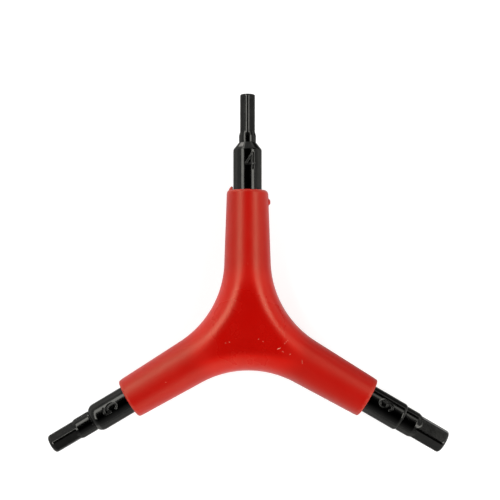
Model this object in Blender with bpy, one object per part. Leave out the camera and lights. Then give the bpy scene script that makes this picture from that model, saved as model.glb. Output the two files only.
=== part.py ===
"""Three-way hex wrench.

A moulded plastic handle has three arms at nearly even angles, and each arm holds a steel hex
bit that was laid in the mould, so nothing moves. The wrench lies flat: the handle's back deck is
on z = 0, the front deck faces +Z, and the origin is the middle of the back deck. The 4 mm
bit points along +Y, and the 5 mm and 6 mm bits point down to the left and to the right.

Every arm and every bit is modelled along +X, with its axis through the origin, and is then
turned about Z to where it points. Lengths are in metres.
"""

import math

import bmesh
import bpy
from mathutils import Vector

# Handle: reach is from the hub's centre to an arm's mouth
HANDLE_REACH = 0.0374
HANDLE_THICKNESS = 0.0131
MOUTH_DIAMETER = 0.01095
MOUTH_ROUNDING = 0.0007
ARM_TAPER_SHARE = 0.0355
CROTCH_RADIUS = 0.025
CLEARANCE = 0.0003

# Shank: the round bar that every bit is turned from, and its hold inside the handle
BODY_DIAMETER = 0.0077
HUB_CORE_RADIUS = 0.012
SHANK_CHAMFER = 0.0005
SHANK_FLATS_LENGTH = 0.009
SHANK_ACROSS_FLATS = 0.0062
GROOVE_OFFSET = 0.003
GROOVE_WIDTH = 0.0024
GROOVE_DIAMETER = 0.0062

# Bits: lengths run on from one another, out from the handle's mouth
HEX_4_ACROSS_FLATS = 0.004
HEX_4_BODY_LENGTH = 0.0108
HEX_4_SHOULDER_LENGTH = 0.0017
HEX_4_SHOULDER_ROUNDING = 0.0014
HEX_4_NECK_DIAMETER = 0.0046
HEX_4_NECK_LENGTH = 0.0023
HEX_4_RUNOUT_LENGTH = 0.0011
HEX_4_TIP_LENGTH = 0.0099
HEX_4_END_DIAMETER = 0.0026
HEX_4_END_ROUNDING = 0.0009

HEX_5_ACROSS_FLATS = 0.005
HEX_5_BODY_LENGTH = 0.01035
HEX_5_SHOULDER_LENGTH = 0.0008
HEX_5_SHOULDER_ROUNDING = 0.0023
HEX_5_NECK_DIAMETER = 0.0057
HEX_5_NECK_LENGTH = 0.00415
HEX_5_RUNOUT_LENGTH = 0.0014
HEX_5_TIP_LENGTH = 0.0075
HEX_5_END_DIAMETER = 0.0033
HEX_5_END_ROUNDING = 0.0011

HEX_6_ACROSS_FLATS = 0.006
HEX_6_BODY_LENGTH = 0.0103
HEX_6_SHOULDER_LENGTH = 0.0004
HEX_6_SHOULDER_ROUNDING = 0.001
HEX_6_NECK_DIAMETER = 0.00705
HEX_6_NECK_LENGTH = 0.0033
HEX_6_RUNOUT_LENGTH = 0.002
HEX_6_TIP_LENGTH = 0.0081
HEX_6_END_DIAMETER = 0.0042
HEX_6_END_ROUNDING = 0.0012

# Angles in degrees: where each bit and its arm point, which is a little off an even spread,
# and how far the bit's hex is turned about its own axis from having a corner in front
HEX_4_DIRECTION = 90.0
HEX_5_DIRECTION = 210.8
HEX_6_DIRECTION = 329.8
HEX_4_TURN = 1.5
HEX_5_TURN = 6.6
HEX_6_TURN = 7.5
END_CONE_ANGLE = 60.0
SMOOTH_ANGLE = 30.0

# How far a shape runs into or past the one it joins or cuts
OVERRUN = 0.001
SEAM = 0.000001

# How finely curves are divided
ROUND_STEPS = 32
CROTCH_STEPS = 12
ROUNDING_STEPS = 3
HEX_SIDES = 6

BLACK_OXIDE = (0.035, 0.035, 0.033)
MOULDED_RED = (0.509, 0.005, 0.002)

# The bits, listed anticlockwise as they are seen from the front
BITS = (
    {
        "name": "hex_bit_4mm",
        "direction": HEX_4_DIRECTION,
        "turn": HEX_4_TURN,
        "across_flats": HEX_4_ACROSS_FLATS,
        "body_length": HEX_4_BODY_LENGTH,
        "shoulder_length": HEX_4_SHOULDER_LENGTH,
        "shoulder_rounding": HEX_4_SHOULDER_ROUNDING,
        "neck_diameter": HEX_4_NECK_DIAMETER,
        "neck_length": HEX_4_NECK_LENGTH,
        "runout_length": HEX_4_RUNOUT_LENGTH,
        "tip_length": HEX_4_TIP_LENGTH,
        "end_diameter": HEX_4_END_DIAMETER,
        "end_rounding": HEX_4_END_ROUNDING,
    },
    {
        "name": "hex_bit_5mm",
        "direction": HEX_5_DIRECTION,
        "turn": HEX_5_TURN,
        "across_flats": HEX_5_ACROSS_FLATS,
        "body_length": HEX_5_BODY_LENGTH,
        "shoulder_length": HEX_5_SHOULDER_LENGTH,
        "shoulder_rounding": HEX_5_SHOULDER_ROUNDING,
        "neck_diameter": HEX_5_NECK_DIAMETER,
        "neck_length": HEX_5_NECK_LENGTH,
        "runout_length": HEX_5_RUNOUT_LENGTH,
        "tip_length": HEX_5_TIP_LENGTH,
        "end_diameter": HEX_5_END_DIAMETER,
        "end_rounding": HEX_5_END_ROUNDING,
    },
    {
        "name": "hex_bit_6mm",
        "direction": HEX_6_DIRECTION,
        "turn": HEX_6_TURN,
        "across_flats": HEX_6_ACROSS_FLATS,
        "body_length": HEX_6_BODY_LENGTH,
        "shoulder_length": HEX_6_SHOULDER_LENGTH,
        "shoulder_rounding": HEX_6_SHOULDER_ROUNDING,
        "neck_diameter": HEX_6_NECK_DIAMETER,
        "neck_length": HEX_6_NECK_LENGTH,
        "runout_length": HEX_6_RUNOUT_LENGTH,
        "tip_length": HEX_6_TIP_LENGTH,
        "end_diameter": HEX_6_END_DIAMETER,
        "end_rounding": HEX_6_END_ROUNDING,
    },
)


def clear_scene():
    for obj in list(bpy.data.objects):
        bpy.data.objects.remove(obj, do_unlink=True)


def make_material(name, colour, roughness, metallic):
    material = bpy.data.materials.new(name)
    material.use_nodes = True
    shader = material.node_tree.nodes["Principled BSDF"]
    shader.inputs["Base Color"].default_value = (*colour, 1.0)
    shader.inputs["Roughness"].default_value = roughness
    shader.inputs["Metallic"].default_value = metallic
    return material


def add_object(name, bm):
    """An object made from a bmesh whose doubles are merged and whose faces point out."""
    bmesh.ops.remove_doubles(bm, verts=bm.verts, dist=SEAM)
    bmesh.ops.recalc_face_normals(bm, faces=bm.faces)
    mesh = bpy.data.meshes.new(name)
    bm.to_mesh(mesh)
    bm.free()
    obj = bpy.data.objects.new(name, mesh)
    bpy.context.scene.collection.objects.link(obj)
    return obj


def as_tool(obj):
    """Marks a shape that only cuts or joins another one."""
    obj.hide_render = True
    obj.display_type = "WIRE"
    return obj


def combine(obj, tool, operation):
    modifier = obj.modifiers.new(tool.name, "BOOLEAN")
    modifier.operation = operation
    modifier.solver = "EXACT"
    modifier.object = tool


def place(obj, direction):
    """Turns a shape that was made along +X to its direction, at the height of the arms."""
    obj.location.z = HANDLE_THICKNESS / 2
    obj.rotation_euler.z = math.radians(direction)


def turned(name, profile):
    """A solid of revolution about X. The profile is a list of places along X and radii."""
    bm = bmesh.new()
    rings = []
    for along, radius in profile:
        ring = []
        for step in range(ROUND_STEPS):
            angle = 2 * math.pi * step / ROUND_STEPS
            ring.append(bm.verts.new((along, radius * math.cos(angle), radius * math.sin(angle))))
        rings.append(ring)
    for first, second in zip(rings, rings[1:]):
        for step in range(ROUND_STEPS):
            after = (step + 1) % ROUND_STEPS
            bm.faces.new((first[step], first[after], second[after], second[step]))
    bm.faces.new(rings[0])
    bm.faces.new(rings[-1])
    return add_object(name, bm)


def hex_prism(name, start, end, across_flats, turn):
    """A hexagonal bar along X. Turned by 0 degrees, it has a corner straight above the axis."""
    bm = bmesh.new()
    corner_radius = across_flats / 2 / math.cos(math.pi / HEX_SIDES)
    ends = []
    for along in (start, end):
        ring = []
        for corner in range(HEX_SIDES):
            angle = math.radians(turn) + 2 * math.pi * corner / HEX_SIDES
            across = -corner_radius * math.sin(angle)
            ring.append(bm.verts.new((along, across, corner_radius * math.cos(angle))))
        ends.append(ring)
    for corner in range(HEX_SIDES):
        after = (corner + 1) % HEX_SIDES
        bm.faces.new((ends[0][corner], ends[0][after], ends[1][after], ends[1][corner]))
    bm.faces.new(ends[0])
    bm.faces.new(ends[1])
    return add_object(name, bm)


def block(name, low, high):
    bm = bmesh.new()
    bmesh.ops.create_cube(bm, size=1.0)
    for vert in bm.verts:
        for axis in range(3):
            share = vert.co[axis] + 0.5
            vert.co[axis] = low[axis] + (high[axis] - low[axis]) * share
    return add_object(name, bm)


def mill_flats(obj, clearance):
    """Cuts the two flats near a shank's buried end, which stop the bit from turning."""
    start = HUB_CORE_RADIUS - OVERRUN
    end = HUB_CORE_RADIUS + SHANK_FLATS_LENGTH - clearance
    near = SHANK_ACROSS_FLATS / 2 + clearance
    far = BODY_DIAMETER / 2 + clearance + OVERRUN
    for side, low, high in (("front", near, far), ("back", -far, -near)):
        cutter = block(f"{obj.name}_flat_{side}", (start, -far, low), (end, far, high))
        combine(obj, as_tool(cutter), "DIFFERENCE")
        cutter.location = obj.location
        cutter.rotation_euler = obj.rotation_euler


def groove_profile(clearance):
    """The shank's ring groove. Handle plastic fills it and keeps the bit from pulling out."""
    start = HUB_CORE_RADIUS + SHANK_FLATS_LENGTH + GROOVE_OFFSET
    end = start + GROOVE_WIDTH
    outer = BODY_DIAMETER / 2 + clearance
    inner = GROOVE_DIAMETER / 2 + clearance
    return [
        (start + clearance, outer),
        (start + clearance, inner),
        (end - clearance, inner),
        (end - clearance, outer),
    ]


def rounded_corner(before, corner, after, rounding):
    """Points of an arc that rounds one corner of a profile, as far as its two sides allow."""
    before, corner, after = Vector(before), Vector(corner), Vector(after)
    to_before = (before - corner).normalized()
    to_after = (after - corner).normalized()
    half_angle = to_before.angle(to_after) / 2
    room = min((before - corner).length, (after - corner).length)
    setback = min(rounding / math.tan(half_angle), room)
    radius = setback * math.tan(half_angle)
    centre = corner + (to_before + to_after).normalized() * radius / math.sin(half_angle)
    first = corner + to_before * setback - centre
    swing = (corner + to_after * setback - centre).angle_signed(first)
    points = []
    for step in range(ROUNDING_STEPS + 1):
        angle = swing * step / ROUNDING_STEPS
        cos_angle = math.cos(angle)
        sin_angle = math.sin(angle)
        x = centre.x + first.x * cos_angle - first.y * sin_angle
        y = centre.y + first.x * sin_angle + first.y * cos_angle
        points.append((x, y))
    return points


def rounded_end(bit, reach):
    """Profile of the turning tool's cut on a hex tip, from beyond the corners to the end face.

    It is an arc from the flat end face until the surface leans by the cone angle, and a cone
    from there on out past the hexagon's corners.
    """
    rounding = bit["end_rounding"]
    face = bit["end_diameter"] / 2
    steepest = math.radians(END_CONE_ANGLE)
    points = []
    for step in range(ROUNDING_STEPS + 1):
        angle = steepest * step / ROUNDING_STEPS
        along = reach - rounding * (1 - math.cos(angle))
        points.append((along, face + rounding * math.sin(angle)))
    along, radius = points[-1]
    outside = bit["across_flats"]
    points.append((along - (outside - radius) * math.tan(steepest), outside))
    points.reverse()
    return points


def add_tip(obj, bit, neck_end, reach):
    """Joins the hexagonal tip, which starts inside the neck, to a bit's turned body."""
    start = neck_end - OVERRUN
    tip = as_tool(hex_prism(f"{obj.name}_tip", start, reach + OVERRUN, bit["across_flats"], bit["turn"]))
    outside = bit["across_flats"]
    profile = [(start - OVERRUN, outside), *rounded_end(bit, reach)]
    envelope = as_tool(turned(f"{obj.name}_envelope", profile))
    combine(tip, envelope, "INTERSECT")
    combine(obj, tip, "UNION")
    for tool in (tip, envelope):
        place(tool, bit["direction"])


def make_bit(bit):
    """One steel bit: a buried shank, a bare body, a shoulder, a neck and a hexagonal tip.

    The neck tapers, and its taper sinks into the middle of each of the tip's flats.
    """
    body = BODY_DIAMETER / 2
    neck = bit["neck_diameter"] / 2
    flat = bit["across_flats"] / 2
    shoulder = HANDLE_REACH + bit["body_length"]
    neck_start = shoulder + bit["shoulder_length"]
    neck_end = neck_start + bit["neck_length"]
    tip_start = neck_end + bit["runout_length"]
    reach = tip_start + bit["tip_length"]
    rounding = bit["shoulder_rounding"]
    profile = [
        (HUB_CORE_RADIUS, body - SHANK_CHAMFER),
        (HUB_CORE_RADIUS + SHANK_CHAMFER, body),
        *groove_profile(0),
        *rounded_corner((HANDLE_REACH, body), (shoulder, body), (neck_start, neck), rounding),
        (neck_start, neck),
        (neck_end, neck),
        (tip_start, flat),
        (tip_start + OVERRUN, flat - (neck - flat) * OVERRUN / bit["runout_length"]),
    ]
    obj = turned(bit["name"], profile)
    place(obj, bit["direction"])
    mill_flats(obj, 0)
    add_tip(obj, bit, neck_end, reach)
    obj.data.materials.append(make_material(f"black_oxide_{bit['name']}", BLACK_OXIDE, 0.3, 1.0))
    return obj


def arm_half_width(along):
    """Half the width of an arm, which widens evenly towards the hub."""
    return MOUTH_DIAMETER / 2 + ARM_TAPER_SHARE * (HANDLE_REACH - along)


def edge_radius(along):
    """The handle's edges are half round, as thick as the decks allow."""
    return min(HANDLE_THICKNESS / 2, arm_half_width(along))


def crotch_station(share, half_spread):
    """Where the hub's edge runs between two arms, in the frame of the arm on its right.

    The edge follows an arc that is tangent to the sides of both arms. Share 0 is the middle
    of the arc and share 1 is where the arm's straight side begins. The result is the edge's
    place along and across the arm, its radius, and the direction from it into the plastic.
    """
    taper = math.atan(ARM_TAPER_SHARE)
    corner = arm_half_width(0) / (math.sin(half_spread) + ARM_TAPER_SHARE * math.cos(half_spread))
    centre = corner + CROTCH_RADIUS / math.sin(half_spread + taper)
    middle = math.pi + half_spread
    straight_in = 1.5 * math.pi
    angle = middle + share * (straight_in - taper - middle)
    inward = middle + share * (straight_in - middle)
    along = centre * math.cos(half_spread) + CROTCH_RADIUS * math.cos(angle)
    across = centre * math.sin(half_spread) + CROTCH_RADIUS * math.sin(angle)
    return along, across, edge_radius(along), inward


def arm_station(along, inset):
    """The edge on the straight side of an arm, drawn in by an inset at the mouth's rounding."""
    return along, arm_half_width(along) - inset, edge_radius(along) - inset, 1.5 * math.pi


def mouth_stations():
    """The edge round an arm's mouth, from the straight side to the flat end face."""
    stations = []
    for step in range(ROUNDING_STEPS + 1):
        angle = math.pi / 2 * step / ROUNDING_STEPS
        along = HANDLE_REACH - MOUTH_ROUNDING * (1 - math.sin(angle))
        stations.append(arm_station(along, MOUTH_ROUNDING * (1 - math.cos(angle))))
    return stations


def edge_points(bm, station, side, direction):
    """The half round edge at one station, from the back deck round to the front deck."""
    along, across, radius, inward = station
    cos_turn = math.cos(math.radians(direction))
    sin_turn = math.sin(math.radians(direction))
    points = []
    for step in range(ROUND_STEPS // 2 + 1):
        angle = math.pi * (2 * step / ROUND_STEPS - 0.5)
        inset = radius * (1 - math.cos(angle))
        x = along + inset * math.cos(inward)
        y = side * (across + inset * math.sin(inward))
        z = radius * math.sin(angle)
        points.append(bm.verts.new((x * cos_turn - y * sin_turn, x * sin_turn + y * cos_turn, z)))
    return points


def fill_arm(bm, direction, half_spreads):
    """Skins one arm and its part of the hub, apart from the middle of the decks.

    The half spreads are half the angles to the next arms on the left and on the right.
    """
    straight = max(crotch_station(1, half_spread)[0] for half_spread in half_spreads)
    edges = []
    for side, half_spread in zip((1, -1), half_spreads):
        stations = [crotch_station(step / CROTCH_STEPS, half_spread) for step in range(CROTCH_STEPS + 1)]
        stations.append(arm_station(straight, 0))
        stations.extend(mouth_stations())
        edges.append([edge_points(bm, station, side, direction) for station in stations])
    for rings in edges:
        for first, second in zip(rings, rings[1:]):
            for step in range(ROUND_STEPS // 2):
                bm.faces.new((first[step], first[step + 1], second[step + 1], second[step]))
    left, right = edges
    for row in range(len(left) - 1):
        for deck in (0, -1):
            bm.faces.new((left[row][deck], right[row][deck], right[row + 1][deck], left[row + 1][deck]))
    bm.faces.new(left[-1] + list(reversed(right[-1])))
    return left[0]


def cut_socket(handle, direction, name):
    """Cuts the hollow that a bit's shank fills, with the clearance all round it."""
    outer = BODY_DIAMETER / 2 + CLEARANCE
    profile = [
        (HUB_CORE_RADIUS - CLEARANCE, outer),
        *groove_profile(CLEARANCE),
        (HANDLE_REACH + OVERRUN, outer),
    ]
    socket = as_tool(turned(f"{name}_socket", profile))
    place(socket, direction)
    mill_flats(socket, CLEARANCE)
    combine(handle, socket, "DIFFERENCE")


def make_handle():
    bm = bmesh.new()
    directions = [bit["direction"] for bit in BITS]
    half_spreads = []
    for direction, after in zip(directions, directions[1:] + directions[:1]):
        half_spreads.append(math.radians((after - direction) % 360) / 2)
    crotches = []
    for arm, direction in enumerate(directions):
        crotches.append(fill_arm(bm, direction, (half_spreads[arm], half_spreads[arm - 1])))
    for deck in (0, -1):
        bm.faces.new([points[deck] for points in crotches])
    handle = add_object("handle", bm)
    handle.location.z = HANDLE_THICKNESS / 2
    for bit in BITS:
        cut_socket(handle, bit["direction"], bit["name"])
    handle.data.materials.append(make_material("moulded_red_plastic", MOULDED_RED, 0.4, 0.0))
    return handle


def shade(obj):
    obj.data.shade_smooth()
    obj.data.set_sharp_from_angle(angle=math.radians(SMOOTH_ANGLE))


clear_scene()
shade(make_handle())
for entry in BITS:
    shade(make_bit(entry))
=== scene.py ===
"""Looks for a three-way hex wrench: a satin red moulded handle and three black steel bits.

The wrench lies on a white cove between strip lamps. Every bit and arm is modelled along +X
with its axis through the origin, and is then turned about Z to where it points and lifted to the
height of the arms. Lengths are in metres and angles in degrees. A place along a bit or an arm is
its distance from the hub's centre.
"""

import math

import bmesh
import bpy
from mathutils import Euler, Matrix, Vector


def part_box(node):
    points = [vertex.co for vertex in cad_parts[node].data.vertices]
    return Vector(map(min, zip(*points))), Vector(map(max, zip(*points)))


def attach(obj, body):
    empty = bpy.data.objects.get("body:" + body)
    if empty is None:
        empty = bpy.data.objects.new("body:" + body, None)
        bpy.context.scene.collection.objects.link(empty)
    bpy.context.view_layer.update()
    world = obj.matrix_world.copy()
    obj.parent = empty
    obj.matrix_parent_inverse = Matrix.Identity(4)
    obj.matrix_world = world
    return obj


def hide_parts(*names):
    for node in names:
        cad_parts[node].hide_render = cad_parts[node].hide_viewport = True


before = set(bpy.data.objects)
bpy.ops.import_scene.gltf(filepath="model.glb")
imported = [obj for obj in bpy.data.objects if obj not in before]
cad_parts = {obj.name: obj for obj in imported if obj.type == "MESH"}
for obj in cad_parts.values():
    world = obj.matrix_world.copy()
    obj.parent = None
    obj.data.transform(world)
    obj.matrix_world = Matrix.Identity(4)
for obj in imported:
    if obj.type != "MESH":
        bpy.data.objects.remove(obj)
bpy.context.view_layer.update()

# Handle. An arm widens evenly from its mouth to the hub
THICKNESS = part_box("handle")[1].z
ARM_REACH = 0.0374
MOUTH_RADIUS = 0.00553
ARM_TAPER_SHARE = 0.0355
CROTCH_RADIUS = 0.0262
SOCKET_GAP = 0.00006
SOCKET_DEPTH = 0.0012
SOCKET_EDGE = 0.00012

# Direction from an arm's left side straight in to its axis
STRAIGHT_IN = 1.5 * math.pi

# What the mould left: a raised parting line, the gate's stub and a lip of flash
PARTING_HEIGHT = 0.00005
GATE_PLACE = 0.0341
GATE_LENGTH = 0.0022
GATE_WIDTH = 0.0011
GATE_HEIGHT = 0.00048
FLASH_HEIGHT = 0.0011
FLASH_RADIUS = 0.0043
FLASH_SPREAD = 0.00055
FLASH_ANGLE = 14.0

# How round use wore one corner of a mouth
WORN_ROUNDING = 0.001

# Dents in the front deck: place across and up, length, direction, and how pale the plastic is
# painted there, partly whitening and partly a painted glint
DENT_WIDTH = 0.00022
DENT_DEPTH = 0.00012
DENTS = (
    (-0.0058, -0.0037, 0.0004, 0.0, 0.3),
    (-0.0048, -0.0035, 0.0004, 60.0, 0.4),
    (0.0029, -0.0027, 0.0003, 20.0, 0.5),
    (0.0041, -0.0033, 0.0004, -30.0, 0.3),
    (0.0099, -0.0038, 0.0006, 42.0, 0.4),
    (0.0103, -0.0034, 0.0006, 42.0, 0.5),
    (0.0107, -0.003, 0.0006, 42.0, 0.4),
    (0.0083, -0.0052, 0.0011, 18.0, 1.0),
    (0.0094, -0.006, 0.0006, -35.0, 0.3),
    (0.0113, -0.0067, 0.0005, 30.0, 0.5),
    (0.0145, -0.0088, 0.0015, 95.0, 0.25),
    (-0.0032, 0.0074, 0.0006, 75.0, 0.3),
    (0.0048, 0.0063, 0.0005, -50.0, 0.3),
    (-0.0217, -0.0142, 0.0004, 0.0, 0.4),
)

# Bits. A seam is how softly two surfaces of the tip meet. The power rounds a hexagon's corners
# to the radius of the circle inside it, and a smaller rounding takes a greater one
BODY_RADIUS = 0.00385
BURIED_LENGTH = 0.0009
UNDERCUT_LENGTH = 0.0004
CONE_ANGLE = 60.0
HEX_SIDES = 6
ROUNDING_POWER = 5.17
CORNER_SEAM = 0.000005
RUNOUT_SEAM = 0.00012
CHAMFER_SEAM = 0.00008
RIM_WIDTH = 0.0002
SHOULDER_HIGHLIGHT_FADE_SHARES = (0.4, 0.5)

# What each bit has of its own, with the mouth of its arm. A turn about the bit's axis goes from
# its front to the right
BIT_SIZES = ("4mm", "5mm", "6mm")
BIT_VALUES = {
    "Direction": (90.0, 210.8, 329.8),
    "Mouth": (0.03727, 0.0373, 0.03747),
    "Mouth Rounding": (0.00075, 0.00055, 0.00035),
    "Hex Turn": (1.5, 5.9, 8.5),
    "Across Flats": (0.004, 0.005, 0.006),
    "Corner Radius": (0.0022, 0.00273, 0.0033),
    "Corner Rounding": (0.00095, 0.00025, 0.0003),
    "Shoulder": (0.0482, 0.04775, 0.0477),
    "Shoulder Rounding": (0.0009, 0.0023, 0.001),
    "Neck Start": (0.0502, 0.04855, 0.0481),
    "Neck Fillet": (0.0003, 0.00015, 0.0002),
    "Undercut": (0.00003, 0.0001, 0.00004),
    "Neck Radius": (0.0023, 0.00285, 0.003525),
    "Neck End": (0.052, 0.0529, 0.05185),
    "Runout": (0.0011, 0.0011, 0.0015),
    "Reach": (0.06319, 0.06156, 0.0614),
    "End Radius": (0.0015, 0.00175, 0.00225),
    "End Rounding": (0.00062, 0.0008, 0.0011),
    # The last five rows place a patch of each shoulder that is painted paler grey, a painted
    # highlight
    "Rubbed Place": (0.04942, 0.0479, 0.048),
    "Rubbed Length": (0.0013, 0.0013, 0.0004),
    "Rubbed Turn": (-35.0, -50.0, -45.0),
    "Rubbed Spread": (28.0, 44.0, 55.0),
    "Rubbed Share": (1.0, 0.25, 0.15),
}

# Inputs of the node tree that makes the bits: what they share, with the strokes of their stamped
# numbers, and what each has of its own
SHARED_SIZES = {
    "Lift": THICKNESS / 2,
    "Worn Length": 0.0025,
    "Stroke Width": 0.00062,
    "Stroke Wall": 0.0002,
    "Stroke Depth": 0.00013,
}
OWN_SIZES = ("Across Flats", "Corner Radius", "Corner Rounding", "Neck Radius", "Neck End",
             "Runout", "Reach", "Rubbed Place", "Rubbed Length", "Rubbed Share")
OWN_TURNS = ("Direction", "Hex Turn", "Rubbed Turn", "Rubbed Spread")

# Red plastic. The mould's grain is finer in truth, and is drawn as coarse as it has to be to
# show. A fade is where a change starts and ends, as distances or as a noise's values
PIGMENTS = ("#B10401", "#C00501")
# Painted light: the sides between the arms are painted this lighter red, for the light that falls
# on them
PAINTED_CROTCH_LIGHT_RED = "#CE0A03"
# Paler red for the scuffs, for the dents, where it is partly a painted glint, and for the mouths'
# edges, where it is partly a painted highlight
PALE_WEAR_AND_SHEEN_RED = "#EE9A84"
SHEEN_TINT = "#FFFBD2"
PLASTIC_IOR = 1.5
SWIRL_SIZE = 0.011
PAINTED_CROTCH_LIGHT_FADE = (0.0125, 0.019)
DECK_FADE = (0.0061, 0.0065)
RUBBED_FADE = (0.008, 0.016)
RUBBED_ROUGHNESS = 0.26
MOULDED_ROUGHNESS = 0.38
SMUDGE_SIZE = 0.006
SMUDGE_FADE = (0.2, 0.8)
SMUDGE_ROUGHNESS = 0.03
SCUFF_SIZE = 0.0006
SCUFF_FADE = (0.45, 0.6)
SCUFF_ROUGHNESS = 0.12
SCUFF_WHITENESS = 0.12
# A pale line along each mouth's edge, partly wear and partly a painted highlight
RIM_SHEEN_WIDTH = 0.0004
RIM_WEAR_AND_HIGHLIGHT_PALENESS = 0.04
GRAIN_SIZE = 0.00014
GRAIN_DEPTH = 0.000003

# Black steel. The lathe's rings and the drawn lines are finer in truth, and are drawn as coarse
# as they have to be to show, as a smear of the lamps
OXIDES = ("#363635", "#3E3E3C")
# Bare steel where the oxide is worn, also used for the painted highlight on each shoulder
BARE_STEEL_AND_HIGHLIGHT_GREY = "#8E8C89"
GRAZING_TINT = "#C4C4C4"
BLOTCH_SIZE = 0.0016
BLOTCH_FADE = (0.3, 0.7)
BLOTCH_DISTORTION = 0.6
OXIDE_ROUGHNESSES = (0.12, 0.16)
DRAWN_ROUGHNESS = 0.02
STAMPED_ROUGHNESS = 0.14
WEAR_SIZE = 0.0007
WEAR_FADE = (0.4, 0.65)
WEAR_SHARE = 0.3
RING_SPACING = 0.00011
LINE_SPACING = 0.00014
LINE_STRETCH = (0.02, 1.0, 1.0)
TOOL_MARK_DEPTH = 0.0000012

# Cove. A painted shade spot has its place and how far from it its painted shade starts to fade and
# is gone
FLOOR_RADIUS = 3.0
WALL_HEIGHT = 1.2
COVE_RADIUS = 0.8
PAPER = "#BCBCBC"
SHADED_PAPER = "#606060"
FLOOR_GLOW = 0.73
MIRRORED_SHARE = 0.575
PAINTED_SHADE_SPOTS = (
    ((0.052, 0.012, 0.0), 0.014, 0.042),
    ((0.016, 0.07, 0.0), 0.013, 0.018),
)

# Room. Its light changes with how far a direction, 1 long, points up, along Y and at the dark
# corner
ROOM_LEVEL = 0.62
FAR_WALL_FADE = (0.55, 0.92)
NEAR_ROOM_LEVEL = 0.8
NEAR_WALL_TOP = 0.97
NEAR_WALL_LEAN = 0.25
NEAR_WALL_FADE = (-0.1, -0.45)
DARK_CORNER = (0.5, 0.866, 0.0)
DARK_CORNER_FADE = (0.45, 0.85)
DARK_CORNER_SHARE = 0.2

# Lamps. A strip has its side, its angle from overhead, its turn, where it starts and ends along
# Y, and its radiance
LAMP_COLOUR = "#FFFEFB"
LAMP_HEIGHT = 0.6
LAMP_WIDTH = 0.27
STRIP_LAMPS = (
    ("strip_lamp_left", -1, 42.0, -12.0, -0.3, 0.96, 3.6),
    ("strip_lamp_right", 1, 43.2, 0.0, -0.36, 0.34, 3.8),
    ("strip_lamp_far_right", 1, 44.6, 0.0, 0.48, 0.9, 1.5),
)

# A far lamp has its direction, its angle from overhead, its size, its radiance, and whether the
# wrench mirrors it
FAR_LAMP_DISTANCE = 1.2
FAR_LAMPS = (
    ("fill_lamp_near", -60.0, 68.0, (1.2, 0.8), 3.2, False),
    ("fill_lamp_left", 128.0, 77.0, (1.2, 0.8), 2.4, False),
    ("fill_lamp_right", 20.0, 74.0, (1.2, 0.8), 0.7, False),
    ("window", 113.0, 82.0, (0.34, 0.34), 3.2, True),
)

# Black card
FLAG_DIRECTION = 53.0
FLAG_DISTANCE = 0.5
FLAG_SIZE = (0.24, 0.25)
FELT = "#161616"

# Camera, straight above a point a little past the hub's centre towards the 4 mm bit
CAMERA_HEIGHT = 0.330
CAMERA_FORWARD = 0.0106
CAMERA_LENS = 87.9
CAMERA_SHIFT = (0.005, 0.078)
CAMERA_CLIP = 0.01

# How finely shapes are divided, in degrees, counts, shares and lengths
EDGE_STEP = 3.0
PARTING_STEPS = (0.0, 0.35, 0.8, 1.5)
ARC_STEP = 10.0
CROTCH_STEPS = 48
ROUNDING_STEPS = 8
DENT_SEGMENTS = 24
DENT_RINGS = 12
BIT_COLUMNS = 300
COVE_STEPS = 12
FLOOR_STEPS = 96
FACE_SHARES = (0.33, 0.66)
CROWDING_SHARE = 0.78
ARM_ROW = 0.0005
GATE_ROW = 0.00015
FINE_ROW = 0.00009
COARSE_ROW = 0.0004

# Points this close are made one
SEAM = 0.0000005
DENT_SEAM = 0.000002

# A Map Range node's setting for a fade that is eased at both ends
EASED = {"interpolation_type": "SMOOTHSTEP"}

# Sockets of a Mix node, whose colours and values have the same names
COLOUR_A, COLOUR_B = 6, 7
MIXED_COLOUR = 2
VALUE_A, VALUE_B = 2, 3


def linear(colour):
    """A hex colour as linear red, green, blue and alpha."""
    values = [int(colour[at:at + 2], 16) / 255 for at in (1, 3, 5)]
    return [v / 12.92 if v <= 0.04045 else ((v + 0.055) / 1.055) ** 2.4 for v in values] + [1.0]


def add_node(tree, kind, inputs=(), **settings):
    """Adds a node with its settings and gives its first output.

    The inputs are values or sockets to link, in order, or in a dictionary by name or number.
    """
    node = tree.nodes.new(kind)
    for name, value in settings.items():
        setattr(node, name, value)
    for key, value in inputs.items() if isinstance(inputs, dict) else enumerate(inputs):
        if isinstance(value, bpy.types.NodeSocket):
            tree.links.new(value, node.inputs[key])
        else:
            node.inputs[key].default_value = value
    return node.outputs[0] if node.outputs else None


def new_material(name):
    """A material with an empty node tree, and the tree."""
    material = bpy.data.materials.new(name)
    material.use_nodes = True
    material.node_tree.nodes.clear()
    return material, material.node_tree


def new_tree(name, inputs, output):
    """A geometry node tree with inputs by name and kind, and an output for its mesh."""
    tree = bpy.data.node_groups.new(name, "GeometryNodeTree")
    for key, kind in inputs.items():
        tree.interface.new_socket(key, in_out="INPUT", socket_type=f"NodeSocket{kind}")
    tree.interface.new_socket(output, in_out="OUTPUT", socket_type="NodeSocketGeometry")
    return tree


def add_object(name, data):
    obj = bpy.data.objects.new(name, data)
    bpy.context.scene.collection.objects.link(obj)
    return obj


def add_mesh(name, bm):
    mesh = bpy.data.meshes.new(name)
    bm.to_mesh(mesh)
    bm.free()
    return add_object(name, mesh)


def add_line(name, places):
    """A line through places in the XY plane."""
    bm = bmesh.new()
    verts = [bm.verts.new((x, y, 0)) for x, y in places]
    for first, second in zip(verts, verts[1:]):
        bm.edges.new((first, second))
    return add_mesh(name, bm)


def smooth_step(value):
    value = min(max(value, 0.0), 1.0)
    return value * value * (3 - 2 * value)


# Handle


def arm_half_width(along):
    """Half the width of an arm, which widens evenly towards the hub."""
    return MOUTH_RADIUS + ARM_TAPER_SHARE * (ARM_REACH - along)


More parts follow.
